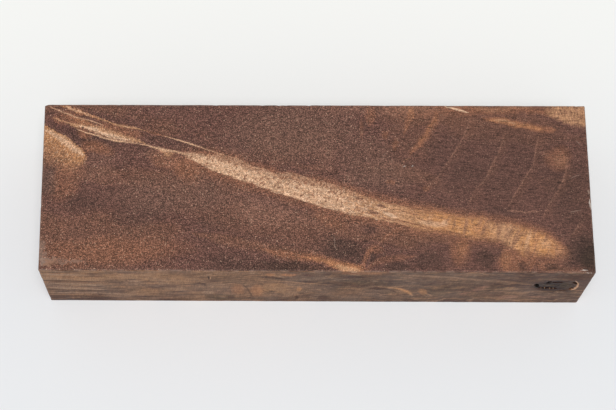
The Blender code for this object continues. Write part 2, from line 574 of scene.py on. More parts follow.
TOP_TINTS = (
    ("russet", 0.6, (-12, -9), 28, 6, -14),
    ("rose", 0.45, (-12, -6), 15, 4.6, -14),
    ("russet", 0.7, (-50, -13), 22, 9, 0),
    ("rust", 0.6, (-48, -16), 22, 4.6, 2),
    ("shade", 0.7, (-42, -7), 9, 3.8, 4),
    ("dark", 0.4, (-55, -4), 6, 3, 0),
    ("shade", 0.6, (46, 6), 26, 14, 0),
    ("dark", 0.5, (61, -3), 8, 11, 0),
    ("dark", 0.5, (-16, -19.4), 14, 2.2, 0),
    ("haze", 0.6, (12, 6), 9, 9, 0),
    ("russet", 0.7, (26, 19), 16, 4.4, 0),
    ("rust", 0.5, (27, 20), 14, 2.8, 0),
    ("russet", 0.4, (23, 12), 8, 7, 0),
    ("haze", 0.5, (18, 3), 9, 5, 0),
    ("rust", 0.6, (3, -8.8), 5, 2.2, -20),
    ("tan", 0.3, (27, 20.5), 12, 2, 0),
    ("rose", 0.4, (14, 20), 23, 2.6, 0),
    ("rose", 0.45, (-32.8, 6.4), 2.6, 2.4, 0),
    ("rose", 0.35, (2, 7.6), 3.4, 4.8, 0),
    ("rose", 0.25, (7.4, 2), 2.6, 2, 0),
    ("rose", 0.45, (-36, 7), 6, 2.6, -20),
    ("rose", 0.3, (-53, 4.6), 7, 5, 0),
    ("tan", 0.3, (-29.5, 5), 5, 3, -30),
    ("shade", 0.6, (28.5, 9), 3, 3, 0),
    ("plum", 0.7, (-60, 15.2), 6, 2.2, -32),
    ("shade", 0.7, (-57.6, 12.9), 2.4, 1.2, -36),
    ("rust", 0.8, (-52.4, 9.8), 5, 2.4, -24),
    ("rust", 0.6, (-56, 8.4), 2.4, 3.2, -30),
    ("shade", 0.7, (-32, 10.5), 10, 1.6, -14),
    ("rust", 0.9, (-57, 16.6), 6.5, 1.9, -25),
    ("rust", 0.8, (-47.5, 13.9), 7.5, 2.4, -12),
    ("rust", 0.6, (-35, 6.6), 6, 3.4, -20),
    ("rust", 0.7, (-30.5, 4.2), 3.6, 4.4, 20),
    ("rust", 0.6, (57.8, 7.5), 4.4, 4, 20),
    ("tan", 0.3, (58.5, 7), 2.4, 2.2, 20),
    ("russet", 0.8, (21, -12.5), 3.6, 4, 0),
    ("russet", 0.9, (27, -12), 8, 2.6, -6),
    ("rust", 0.8, (33.6, -15.4), 3.2, 5.2, -8),
    ("rust", 0.8, (46, -18.5), 4.6, 3.4, 0),
    ("rust", 0.5, (53.5, -19), 3.4, 1.6, -10),
    ("rust", 0.6, (-59, 2), 7.5, 4.6, 60),
    ("grey", 0.5, (-63.6, 1.5), 3, 4, 0),
    ("haze", 0.8, (-6, 14), 20, 9, 0),
    ("haze", 0.7, (-34, -2), 18, 6, 0),
    ("soot", 0.5, (-5.5, -19.7), 10, 1.7, -2),
    ("dark", 0.5, (5.5, -15.2), 8, 3.6, -10),
    ("dark", 0.7, (39.2, -17.4), 2.9, 3.6, 0),
    ("dark", 0.6, (26.5, -18.2), 4.6, 2.8, 0),
    ("dark", 1, (63.4, -15.6), 6, 5.6, -20),
    ("soot", 0.7, (64.6, -17.5), 3.2, 5, 0),
    ("russet", 0.7, (17, -11.4), 5.6, 2.4, 30),
    ("shade", 0.7, (12, -10), 2.6, 2, 0),
)

TOP_PATCHES = (
    ("orange", 0.6, (-55.5, 16.3), 3.2, 0.9, -22),
    ("rust", 0.8, (-55.4, 13.2), 2.4, 1.4, -30),
    ("rust", 0.6, (-61.5, 16.8), 2.4, 1.2, -30),
    ("russet", 0.8, (-62.5, 7.5), 1.8, 1.4, 0),
    ("shade", 0.7, (-63.6, 6.3), 1.5, 1.2, 0),
    ("dark", 0.6, (6.2, -15.2), 5.4, 2.8, -12),
    ("dark", 0.7, (4.4, -17.2), 2.2, 0.9, 0),
    ("dark", 0.8, (9.6, -18), 1.1, 1.4, 0),
    ("rust", 0.5, (13.5, -15.4), 2.4, 1.7, 0),
    ("dark", 0.9, (12.9, -17.4), 0.9, 1.5, -14),
    ("dark", 0.8, (18.5, -19.6), 4.4, 1.4, 0),
    ("orange", 0.3, (34, -14.6), 1.6, 3, -12),
    ("dark", 0.7, (47.8, -19.3), 1.2, 1.8, -14),
    ("dark", 0.7, (54.8, -19.4), 2.4, 1.2, 0),
    ("dark", 0.5, (59, -18.8), 2, 1.2, 0),
    ("dark", 0.5, (42.6, -16), 0.7, 2.6, -24),
    ("orange", 0.4, (44, -17.4), 1.6, 3.6, -6),
    ("rust", 0.6, (13.1, 18.2), 1.6, 3.2, -6),
    ("rust", 0.4, (10.9, 14.8), 0.6, 3.4, 0),
    ("orange", 0.5, (22.9, 18.7), 1.1, 2.2, -6),
    ("rust", 0.6, (16.5, 13.3), 1.1, 1.5, 0),
    ("rust", 0.6, (18.9, 10.6), 0.8, 2, -12),
    ("rust", 0.6, (17.5, 1.3), 1.4, 0.8, 0),
    ("rust", 0.6, (26, -0.3), 1.3, 0.9, 0),
    ("rose", 0.9, (-15.6, -8.5), 0.6, 2, -8),
)

# Each streak: colour, strength, evenly covered share, and its listed points of x, y and half width.
# These have ragged, grainy edges.
TOP_LENSES = (
    ("gold", 0.85, 0.1, (
        (-60, 16, 0.2), (-57, 15.4, 0.8), (-55, 15, 1), (-53, 14.6, 1.4), (-51, 13.9, 1.7),
        (-49, 13.3, 1.7), (-47, 12.7, 1.4), (-45, 12.2, 1.1), (-42, 11.3, 0.6), (-40, 10.6, 0.2),
    )),
    ("pale", 0.8, 0, (
        (-57.5, 15.2, 0.1), (-55.5, 15.1, 0.4), (-54, 14.7, 0.8), (-52.5, 14.2, 1), (-51, 13.4, 0.6),
        (-49.5, 13, 1), (-48, 12.6, 0.9), (-46, 12, 0.5), (-44, 11.6, 0.1),
    )),
    ("shade", 0.8, 0.2, ((-57, 14.9, 0.1), (-56, 14.8, 0.3), (-55, 14.5, 0.3), (-54, 14.2, 0.1))),
    ("orange", 0.9, 0.3, (
        (-61.8, 20.6, 0.15), (-60, 20.3, 0.5), (-58.5, 19.7, 0.75), (-57, 19.1, 0.85), (-55, 18.4, 0.65),
        (-53, 17.65, 0.45), (-51, 16.9, 0.3), (-48, 15.9, 0.1),
    )),
    ("pale", 0.5, 0, (
        (-60.5, 20.4, 0.2), (-58.5, 19.7, 0.5), (-57, 19.1, 0.5), (-55, 18.4, 0.4), (-53, 17.6, 0.2),
    )),
    ("gold", 0.7, 0.1, (
        (-37.5, 9.4, 0.4), (-36.5, 8.9, 0.8), (-35.6, 8.2, 1.1), (-34.8, 8.3, 0.8), (-33.5, 8.5, 0.3),
    )),
)

# Soft-edged ones: the streak at the front edge, what curls up beside it, and the flames at the back right
TOP_GLOWS = (
    ("russet", 0.8, 0, (
        (-26, -11.5, 0.4), (-20, -12.8, 1), (-14, -14.4, 1.6), (-8, -15.8, 1.8), (-2, -17, 1.5),
        (3, -18, 1.3),
    )),
    ("russet", 0.8, 0.2, (
        (-30, -11.6, 0.6), (-24, -12.9, 1.6), (-16, -14.6, 2), (-8, -16.2, 2.2), (0, -17.6, 1.8),
        (4, -18.4, 1),
    )),
    ("rust", 0.9, 0.3, (
        (-14, -15.2, 0.4), (-8, -16.7, 1.4), (-2, -17.5, 1.5), (3, -18.5, 1.5), (7, -19.8, 1.9),
        (11, -20.9, 1.6), (13, -21.6, 0.8),
    )),
    ("orange", 0.9, 0.2, (
        (-5, -17.2, 0.3), (-1, -17.9, 0.6), (2, -18.5, 0.8), (4, -19.2, 1.3), (6.5, -19.9, 1.7),
        (9, -20.4, 1.6), (11, -21.1, 1), (12, -21.6, 0.5),
    )),
    ("gold", 1, 0, ((3.5, -19.4, 0.3), (6, -20, 1.1), (8.5, -20.6, 1.1), (10.5, -21.4, 0.4))),
    ("rust", 0.7, 0.1, (
        (10, -21.5, 0.8), (10.5, -19.3, 1), (11.2, -17.6, 1), (12, -16, 1.1), (13.6, -14.4, 1),
    )),
    ("rust", 0.45, 0.1, (
        (11.4, -20.8, 0.9), (13, -19, 1.2), (15, -18, 1.2), (17, -17.7, 1.1), (20, -17.3, 1),
        (23.5, -16.8, 0.3),
    )),
    ("rust", 0.5, 0.1, ((14, -14, 0.4), (16, -12.4, 0.9), (18.5, -10.8, 0.9), (21, -9.4, 0.3))),
    ("rust", 0.9, 0, (
        (28, 21.2, 0.8), (32, 20.4, 1.8), (37, 19.8, 2.1), (43, 19.6, 2), (49, 20, 1.8), (54, 19.6, 1.8),
        (58, 18.8, 1.8), (60, 18.6, 0.5),
    )),
    ("tan", 0.6, 0, ((38, 20.4, 0.4), (41, 19.9, 1.1), (44, 19.8, 1.1), (48, 20.4, 0.8), (53, 20.2, 0.6))),
    ("rust", 1, 0, (
        (39.5, 17.8, 0.4), (43, 17.2, 1.3), (47, 16.4, 1.5), (50, 15.7, 1.5), (53, 15.1, 1.5),
        (56, 14.7, 1.2), (58, 14.6, 0.6),
    )),
    ("orange", 0.9, 0, (
        (41.5, 17.4, 0.3), (44, 17, 1.1), (47, 16.4, 1.2), (50, 15.7, 1), (53, 15.1, 0.8), (55, 14.8, 0.3),
    )),
    ("cream", 0.35, 0, ((42.5, 17.2, 0.2), (44.5, 17, 0.6), (46.5, 16.7, 0.5), (48.5, 16.1, 0.2))),
    ("rust", 0.9, 0, (
        (29.2, 19.8, 1.2), (28.4, 16.5, 1.8), (27.2, 14.5, 1.9), (25.9, 12.5, 1.8), (24.7, 11, 1.6),
        (23, 9.3, 1.1), (22, 7.8, 0.4),
    )),
    ("orange", 0.3, 0, (
        (28.7, 18.5, 0.5), (28, 16.2, 0.9), (26.8, 14.2, 0.7), (25.4, 12.2, 0.7), (24.2, 10.6, 0.4),
    )),
    ("rust", 0.8, 0, ((22.9, 19.6, 0.9), (22.4, 17.5, 1.1), (21.6, 15.2, 1), (20.6, 13, 0.4))),
    ("rose", 0.7, 0, (
        (44.6, -6.6, 0.2), (46.5, -5.8, 0.45), (49, -6.1, 0.3), (51, -6, 0.45), (53, -6.6, 0.2),
    )),
    ("rust", 0.8, 0, ((51.2, -15, 0.5), (50.8, -16.5, 0.9), (50.3, -18, 1), (49.6, -21, 0.7))),
)

# These are fine and sharp
TOP_STREAKS = (
    ("cream", 0.75, 0, (
        (-64.5, 20.5, 0.08), (-63, 19.9, 0.2), (-61, 19.1, 0.3), (-59, 18.2, 0.36), (-57.5, 17.6, 0.36),
        (-56, 17.2, 0.32), (-54, 16.6, 0.3), (-52, 16, 0.28), (-50.3, 15.2, 0.06),
    )),
    ("gold", 0.9, 0.1, (
        (-54, 18, 0.1), (-52, 17.3, 0.24), (-50.5, 16.7, 0.26), (-49, 16.2, 0.3), (-47.5, 15.6, 0.36),
        (-45, 15.1, 0.38), (-43, 14.8, 0.32), (-41.5, 14.3, 0.2), (-40, 13.9, 0.1), (-38, 13.3, 0.05),
    )),
    ("rust", 0.6, 0, (
        (-42, 14.4, 0.3), (-40, 13.9, 0.4), (-38, 13.3, 0.4), (-36, 12.8, 0.4), (-33, 11.9, 0.3),
    )),
    ("cream", 0.95, 0.15, (
        (-37, 13, 0.06), (-34, 12.1, 0.22), (-31.5, 11.3, 0.34), (-30, 10.8, 0.38), (-28, 10.15, 0.34),
        (-26.5, 9.5, 0.3), (-25, 9, 0.26), (-23.5, 8.5, 0.24), (-20, 7.6, 0.1),
    )),
    ("gold", 0.7, 0.1, (
        (-63.2, 17.6, 0.1), (-61.5, 16.9, 0.35), (-60, 16.4, 0.22), (-58.5, 15.9, 0.3), (-57.5, 15.2, 0.35),
        (-56.5, 14.7, 0.15),
    )),
    ("cream", 0.9, 0.2, (
        (-58, 15, 0.08), (-56, 14, 0.22), (-54.5, 13.5, 0.26), (-53, 13.1, 0.28), (-51, 12.4, 0.34),
        (-49, 11.8, 0.38), (-46, 11.3, 0.3), (-43.5, 11, 0.22), (-42, 10.7, 0.2), (-40, 10.35, 0.36),
        (-38.5, 9.8, 0.5), (-37, 9.45, 0.62), (-36, 9.2, 0.62), (-35, 9.1, 0.5), (-34, 8.9, 0.42),
        (-32, 8.4, 0.42), (-30, 8.1, 0.5), (-28, 7.6, 0.2),
    )),
    ("pale", 0.85, 0.2, (
        (30.5, 20.9, 0.2), (32.5, 20.3, 0.4), (34.3, 19.8, 0.45), (36, 19.25, 0.3), (37, 19, 0.1),
    )),
    ("tan", 0.8, 0.1, ((20.2, 6, 0.1), (21.2, 6.9, 0.25), (22, 7.3, 0.2), (22.6, 7.4, 0.05))),
)

# Scratches and chipped places, and glints, which are painted highlights
TOP_MARKS = (
    ("white", 0.5, 0.2, ((20.5, 5.15, 0.08), (20.9, 5.3, 0.18), (21.4, 5.4, 0.06))),
    ("white", 0.5, 0.2, ((22.4, 5.2, 0.06), (22.8, 5.4, 0.2), (23.1, 5.5, 0.05))),
    ("white", 0.6, 0.1, (
        (64.7, -2.7, 0.1), (64.6, -3.3, 0.35), (64.75, -4.2, 0.45), (64.8, -5, 0.3), (64.8, -5.5, 0.1),
    )),
    ("scuff", 0.7, 0.1, ((64.4, -0.2, 0.1), (64.5, -0.9, 0.35), (64.5, -1.7, 0.1))),
    ("scuff", 0.8, 0.1, ((62, 12.2, 0.08), (62.8, 11.4, 0.16), (63.6, 10.6, 0.08))),
    ("scuff", 0.6, 0.1, ((3.9, -11.6, 0.06), (4, -13.5, 0.14), (4.15, -15.3, 0.12), (4.2, -15.6, 0.05))),
    ("scuff", 0.4, 0, ((60, 2, 0.08), (61.5, 2.9, 0.2), (63.2, 3.5, 0.08))),
    ("scuff", 0.5, 0, ((59.4, -6, 0.08), (61, -5.8, 0.2), (62.8, -5.4, 0.08))),
    ("scuff", 0.3, 0, ((14.8, 6.6, 0.05), (16.5, 8.4, 0.14), (18.6, 10.6, 0.05))),
    # Painted highlights: glints along the rounded front right corner
    ("white", 0.7, 0.2, ((61.2, -20.25, 0.05), (62.2, -20.2, 0.16), (63.4, -20.15, 0.05))),
    ("white", 0.6, 0.2, ((62.6, -20.8, 0.05), (63.5, -20.85, 0.14), (64.3, -20.9, 0.05))),
)

# The rubbed corner at the front left
TOP_SCUFFS = (
    ("scuff", 0.5, (-63.2, -18.6), 2.6, 1.3, 0),
    ("tan", 0.6, (-62.4, -18.9), 1.8, 0.9, 0),
    ("scuff", 0.3, (-57.5, -18.7), 4.4, 0.8, 0),
    ("scuff", 0.35, (-64.4, -16), 1.2, 4, 0),
)

# The pale ring-shaped arcs across the right half: x and y along each, sharp on their left side
TOP_ARCS = (
    (
        (37.2, 18.5), (36.9, 17), (36.2, 15), (35.3, 13), (34.2, 11), (33, 9), (31.8, 7), (30.4, 5.2),
        (28.9, 3), (27.6, 1.8), (26, -0.5),
    ),
    (
        (45, 14), (44.3, 11), (43.6, 9), (42.7, 7.5), (41.5, 5), (40.5, 3), (39, 1), (37.5, -0.5),
        (36.3, -3), (35.5, -4.6),
    ),
    ((53.5, 13.5), (52.7, 10.5), (52.2, 8), (51.5, 5.5), (50.5, 4), (48, 0), (45, -5)),
    ((60, 7), (59, 3), (57.5, 0), (55, -4), (53.2, -7.5)),
    ((62, -8.2), (60.8, -10.4), (59, -12.5)),
)

# The golden band across the top: x and y along its edges, and of its cream core
BAND_TOP = (
    (-33, 8.9), (-30, 8.7), (-28, 8.3), (-25, 8.2), (-22, 8.1), (-20, 7.5), (-18, 7), (-17, 6.4),
    (-15, 5.2), (-12, 4.4), (-10, 3.6), (-7, 3.5), (-5, 3.2), (-2, 2.4), (0, 1.9), (4, 0.6), (8, -0.6),
    (12, -2.3), (16, -3.7), (20, -4.5), (24, -5), (28, -5.6), (32, -6.4), (36, -7.2), (40, -7.5),
    (42, -8.4), (46, -8.8), (50, -10), (54, -11.4), (56, -12.8), (58, -14.3), (60, -16.4),
)
BAND_BOTTOM = (
    (-34, 8.6), (-32, 7.9), (-30, 7), (-28, 5.8), (-26, 4.7), (-24, 3.9), (-22, 3.1), (-20, 2.4), (-16, 1),
    (-12, -0.5), (-8, -1.9), (-4, -3.2), (0, -4.6), (4, -5.7), (8, -6.8), (12, -7.5), (16, -8.4), (20, -9),
    (24, -10.3), (28, -10.6), (32, -11.2), (36, -12.2), (40, -12.4), (43, -13.1), (46, -15.2), (49, -16.6),
    (52, -16.4), (56, -16.9), (58, -16.8), (60, -16.4),
)
BAND_CORE_TOP = (
    (-34, 8.8), (-28, 7.9), (-24, 7.2), (-22, 6.5), (-18, 5.3), (-16, 4.3), (-13, 3.8), (-11, 3.2),
    (-8, 1.9), (-6, 1.6), (-4, 1), (0, 0.4), (6, -1), (12, -2.8), (20, -4.8), (30, -6.9), (40, -8.4),
    (50, -10.6), (58, -15),
)
# Colours along the band from its left end: place along x and colour
BAND_COLOURS = (
    (-34, "cream"), (-18, "cream"), (4, "cream"), (12, "gold"), (20, "gold"), (28, "amber"), (35, "amber"),
    (39, "amber"), (44, "gold"), (48, "amber"), (53, "amber"), (58, "orange"),
)
BAND_MARKS = (
    ("russet", 0.9, (15, -4.6), 1.5, 0.6, -14),
    ("russet", 0.7, (10, -2.9), 1.4, 0.4, -14),
    ("russet", 0.8, (13.5, -6.3), 2, 0.55, -18),
    ("pale", 0.7, (11, -5.4), 1.6, 0.5, -14),
    ("pale", 0.7, (17.2, -6.9), 2.4, 0.6, -18),
    ("pale", 0.45, (27, -9), 4.4, 0.9, -8),
    ("pale", 0.45, (30, -8.8), 1, 1, 0),
    ("tan", 0.5, (35, -9.6), 0.7, 2.6, -10),
    ("orange", 0.6, (38.4, -10.4), 2.6, 2, -10),
    ("tan", 0.5, (43, -10), 0.8, 2.6, -18),
    ("cream", 0.4, (45.2, -10.6), 0.7, 2.2, -24),
    ("tan", 0.8, (46.6, -12.6), 0.8, 4, -24),
    ("cream", 0.5, (49.4, -13), 0.7, 3.6, -20),
    ("orange", 0.6, (51.4, -13), 0.7, 3, -24),
    ("cream", 0.3, (53.6, -13.8), 1.6, 1.6, -30),
    ("rust", 0.6, (50, -16.4), 1.5, 1.2, 0),
    ("rust", 0.6, (46, -16), 2.6, 1.2, 0),
    ("tan", 0.6, (56.3, -16.6), 0.8, 1.6, -14),
)
BAND_PORES = (
    ("dark", 0.9, (17.9, -5.6), 0.22, 0.3, 0),
    ("dark", 0.6, (40, -10.65), 1.7, 0.14, -18),
    ("dark", 0.8, (42.3, -9), 0.14, 0.4, -20),
    ("dark", 0.7, (46.5, -9.6), 0.14, 0.4, -20),
    ("dark", 0.7, (47.4, -10.8), 0.14, 0.4, -20),
    ("dark", 0.7, (47.3, -12.8), 0.14, 0.4, -20),
    ("dark", 0.7, (45.1, -13.8), 0.14, 0.4, -20),
    ("dark", 0.7, (31.9, -8.5), 0.14, 0.3, -20),
)

# The tan patch at the left end: x and y along its edges
LEFT_PATCH_TOP = (
    (-66, 16.6), (-65, 15.8), (-64, 15), (-62, 13.9), (-60, 12.8), (-59, 12), (-58, 11.2), (-57, 10.4),
    (-56, 9.5), (-55.2, 8.5), (-54.4, 7.2),
)
LEFT_PATCH_BOTTOM = (
    (-66, 6.2), (-64, 5.6), (-61, 4.6), (-59, 4.2), (-57, 4.8), (-55.5, 6.2), (-54.4, 7.2),
)
LEFT_PATCH_RIM = (
    (-66, 15, 0.6), (-63.5, 13.6, 0.9), (-61.5, 12.4, 1.3), (-60, 11.5, 1.5), (-59, 10.7, 1.6),
    (-58, 9.9, 1.6), (-57, 9.1, 1.4), (-56, 8.4, 1), (-55, 7.8, 0.4),
)

# The tan corner at the back right: x and y along its lower edge
RIGHT_CORNER_EDGE = (
    (54.5, 19.5), (56, 18.1), (58, 17.3), (60, 16.2), (62, 15.8), (66, 15),
)


def lay_patches(art, colour, x, y, patches, label):
    """Lays a table of soft-edged ellipses over the colour, in their order."""
    def build(inner, colour, x, y):
        for name, strength, middle, half_length, half_width, turn in patches:
            radii = (half_length, half_width)
            colour = inner.cover(colour, name, inner.patch(x, y, middle, radii, turn, strength=strength))
        return colour

    return art.layer(label, build, colour, x, y)


def lay_streaks(art, colour, x, y, streaks, label):
    """Lays a table of tapering streaks over the colour, in their order."""
    def build(inner, colour, x, y):
        for name, strength, core, points in streaks:
            colour = inner.cover(colour, name, inner.strand(x, y, points, core, strength))
        return colour

    return art.layer(label, build, colour, x, y)


def between(art, x, y, top, bottom, top_soft, bottom_soft, ends_soft=1.0):
    """The region between two curves over x, and how far below its upper curve each place is."""
    under = art.minus(art.curve(x, top), y)
    inside = art.ramp(art.math("DIVIDE", under, top_soft), -1.0, 1.0)
    above = art.minus(y, art.curve(x, bottom))
    inside = art.times(inside, art.ramp(art.math("DIVIDE", above, bottom_soft), -1.0, 1.0))
    start, stop = top[0][0], top[-1][0]
    inside = art.times(inside, art.ramp(x, start, start + ends_soft))
    inside = art.times(inside, art.ramp(x, stop, stop - ends_soft))
    return inside, under


def colour_along(art, x, stops):
    """A smooth run of named colours along x."""
    first, last = stops[0][0], stops[-1][0]
    inputs = {"Value": x, "From Min": first, "From Max": last}
    share = art.add("ShaderNodeMapRange", inputs, clamp=False).outputs[0]
    node = art.add("ShaderNodeValToRGB", {"Fac": share})
    marks = node.color_ramp.elements
    while len(marks) < len(stops):
        marks.new(0.5)
    for mark, (place, name) in zip(marks, stops):
        mark.position = (place - first) / (last - first)
        mark.color = art.paint(name)
    return node.outputs["Color"]


def lay_arcs(art, colour, x, y, grain):
    """Each arc is a thin pale line with a faint glow to its right, stronger in some places."""
    patchy = art.ramp(art.noise(grain, 4.0, shift=(1, 9, 5), detail=2.0), 0.35, 0.6, 0.5, 1.0)
    for points in TOP_ARCS:
        rows = sorted((py, px) for px, py in points)
        gap = art.minus(x, art.curve(y, rows))
        low, high = rows[0][0], rows[-1][0]
        ends = art.times(art.ramp(y, low - 1.0, low + 1.5), art.ramp(y, high + 1.0, high - 2.0))
        ends = art.times(ends, patchy)
        glow = art.times(art.ramp(gap, -0.2, 0.1, 0.0, 0.35), art.ramp(gap, 3.0, 0.0))
        colour = art.cover(colour, "russet", art.times(glow, ends))
        line = art.ramp(art.math("ABSOLUTE", gap), 0.34, 0.04, 0.0, 0.65)
        colour = art.cover(colour, "rose", art.times(line, ends))
    return colour


def lay_band(art, colour, x, y, grain):
    """The golden band: flecked cream on the left, streaky gold and orange on the right."""
    ragged = art.noise(grain, (2.2, 0.35, 0.35), turn=-14, shift=(3, 1, 0))
    frayed = art.math("MULTIPLY_ADD", ragged, 1.4, art.minus(y, 0.7))
    top_soft = art.ramp(x, 0, 40, 0.3, 0.6)
    bottom_soft = art.ramp(x, 5, 40, 0.35, 1.3)
    inside, _ = between(art, x, frayed, BAND_TOP, BAND_BOTTOM, top_soft, bottom_soft, 4.0)
    core_gap = art.minus(art.curve(x, BAND_CORE_TOP), frayed)
    core = art.ramp(core_gap, -0.6, 0.8, 0.35, 1.0)
    low_fringe = art.minus(frayed, art.curve(x, BAND_BOTTOM))
    glow = art.times(art.ramp(low_fringe, -3.2, 0.3), art.ramp(core_gap, -3.0, -0.5))
    glow = art.times(glow, art.ramp(x, -36, -24))
    glow = art.times(glow, art.ramp(x, 60, 54, 0.0, 0.8))
    colour = art.cover(colour, "rust", glow)

    wood = colour_along(art, x, BAND_COLOURS)
    light = art.noise(grain, (1.1, 0.6, 0.6), turn=-30, shift=(8, 3, 0), detail=2.0)
    wood = art.cover(wood, "pale", art.times(art.ramp(light, 0.45, 0.62), art.ramp(x, 22, 6, 0.12, 0.65)))
    wood = lay_patches(art, wood, x, y, BAND_MARKS, "band_marks")
    streaks = art.noise(grain, (4.5, 0.3, 0.3), turn=-15, shift=(9, 4, 0), detail=2.0)
    streaky = art.times(art.ramp(streaks, 0.48, 0.66), art.ramp(x, 0, 14, 0.0, 0.7))
    streaky = art.times(streaky, art.ramp(x, 42, 24, 0.35, 1.0))
    wood = art.cover(wood, "rust", streaky)
    flecks = art.noise(grain, (0.55, 1.0, 0.55), turn=-28, shift=(5, 2, 0), detail=1.0)
    flecky = art.times(art.ramp(flecks, 0.5, 0.68), art.ramp(x, 16, 4, 0.0, 0.75))
    wood = art.cover(wood, "rust", flecky)
    open_pores = art.specks(grain, (0.34, 1.0, 0.34), 0.35, 0.36, shift=(8, 6, 3), turn=-22)
    wood = art.cover(wood, "russet", art.times(open_pores, art.ramp(x, 12, 24, 0.0, 0.85)))
    lanes = art.noise(grain, (0.9, 3.6, 0.9), turn=-22, shift=(2, 5, 1), detail=1.0)
    wood = art.cover(wood, "tan", art.times(art.ramp(lanes, 0.5, 0.64), art.ramp(x, 18, 34, 0.0, 0.7)))
    wood = art.mix(art.paint("rust"), wood, core)
    wood = lay_patches(art, wood, x, y, BAND_PORES, "band_pores")
    return art.mix(colour, wood, inside)


def lay_left_patch(art, colour, x, y, grain):
    """The tan patch at the left end, palest along its upper rim and fading downwards."""
    inside, under = between(art, x, y, LEFT_PATCH_TOP, LEFT_PATCH_BOTTOM, 0.3, 1.8, 0.8)
    slants = art.noise(grain, (0.34, 1.5, 0.4), turn=-28, shift=(2, 7, 0))
    grainy = art.ramp(slants, 0.3, 0.62, 0.35, 1.0)
    inside = art.times(inside, art.ramp(under, 9.0, 1.5, 0.25, 0.95))
    colour = art.cover(colour, "tan", inside)
    colour = art.cover(colour, "amber", art.times(inside, art.times(grainy, 0.8)))
    flecks = art.noise(grain, (0.4, 0.9, 0.4), turn=-28, shift=(7, 7, 0), detail=1.0)
    flecky = art.times(inside, art.ramp(flecks, 0.56, 0.7, 0.0, 0.6))
    colour = art.cover(colour, "pale", flecky)
    rim = art.strand(x, y, LEFT_PATCH_RIM, 0.1, 0.7)
    return art.cover(colour, "pale", art.times(rim, grainy))


def lay_right_corner(art, colour, x, y, grain):
    """The tan corner at the back right."""
    above = art.minus(y, art.curve(x, RIGHT_CORNER_EDGE))
    inside = art.times(art.ramp(above, -0.6, 1.2), art.ramp(x, 54, 58, 0.0, 0.85))
    slants = art.noise(grain, (0.4, 1.6, 0.5), turn=8, shift=(4, 4, 0))
    colour = art.cover(colour, "tan", inside)
    return art.cover(colour, "gold", art.times(inside, art.ramp(slants, 0.32, 0.62)))


def top_figure(art, flat_place, grain):
    """The figure of the top map."""
    loose_x, loose_y, _ = art.split(art.noise_shift(flat_place, 6.0, 3.2, shift=(11, 5, 0)))
    soft_x, soft_y, _ = art.split(art.noise_shift(flat_place, 2.2, 1.4, shift=(9, 7, 0)))
    ragged_x, ragged_y, _ = art.split(art.noise_shift(flat_place, 0.5, 1.3, shift=(6, 2, 0), detail=1.0))
    x, y, _ = art.split(art.noise_shift(flat_place, 1.1, 0.5, shift=(3, 8, 0)))
    drift = art.noise(grain, (24.0, 8.0, 8.0), turn=-8, detail=3.0)
    colour = art.mix(art.paint("ground"), art.paint("shade"), art.ramp(drift, 0.42, 0.3))
    colour = art.cover(colour, "russet", art.ramp(drift, 0.5, 0.64, 0.0, 0.7))
    colour = lay_patches(art, colour, loose_x, loose_y, TOP_TINTS, "top_tints")
    colour = art.layer("arcs", lay_arcs, colour, x, y, grain)
    colour = lay_patches(art, colour, ragged_x, ragged_y, TOP_PATCHES, "top_patches")
    colour = lay_streaks(art, colour, soft_x, soft_y, TOP_GLOWS, "top_glows")
    colour = lay_streaks(art, colour, ragged_x, ragged_y, TOP_LENSES, "top_lenses")
    colour = art.layer("left_patch", lay_left_patch, colour, ragged_x, ragged_y, grain)
    colour = art.layer("right_corner", lay_right_corner, colour, ragged_x, ragged_y, grain)
    colour = lay_streaks(art, colour, x, y, TOP_STREAKS, "top_streaks")
    return art.layer("golden_band", lay_band, colour, x, y, grain)


def lay_marks(art, colour, flat_place, under_top):
    """Scratches, rubbed places and painted glints (highlights) of the top face."""
    x, y, _ = art.split(art.noise_shift(flat_place, 0.5, 0.6, shift=(1, 4, 0), detail=2.0))
    rubbed_x, rubbed_y, _ = art.split(art.noise_shift(flat_place, 0.9, 4.0, shift=(2, 6, 0), detail=3.0))
    marked = lay_patches(art, colour, rubbed_x, rubbed_y, TOP_SCUFFS, "top_scuffs")
    marked = lay_streaks(art, marked, x, y, TOP_MARKS, "top_marks")
    return art.mix(colour, marked, art.ramp(under_top, 0.9, 0.5))


# The wood's figure on the front map: x along the length, then z above the underside

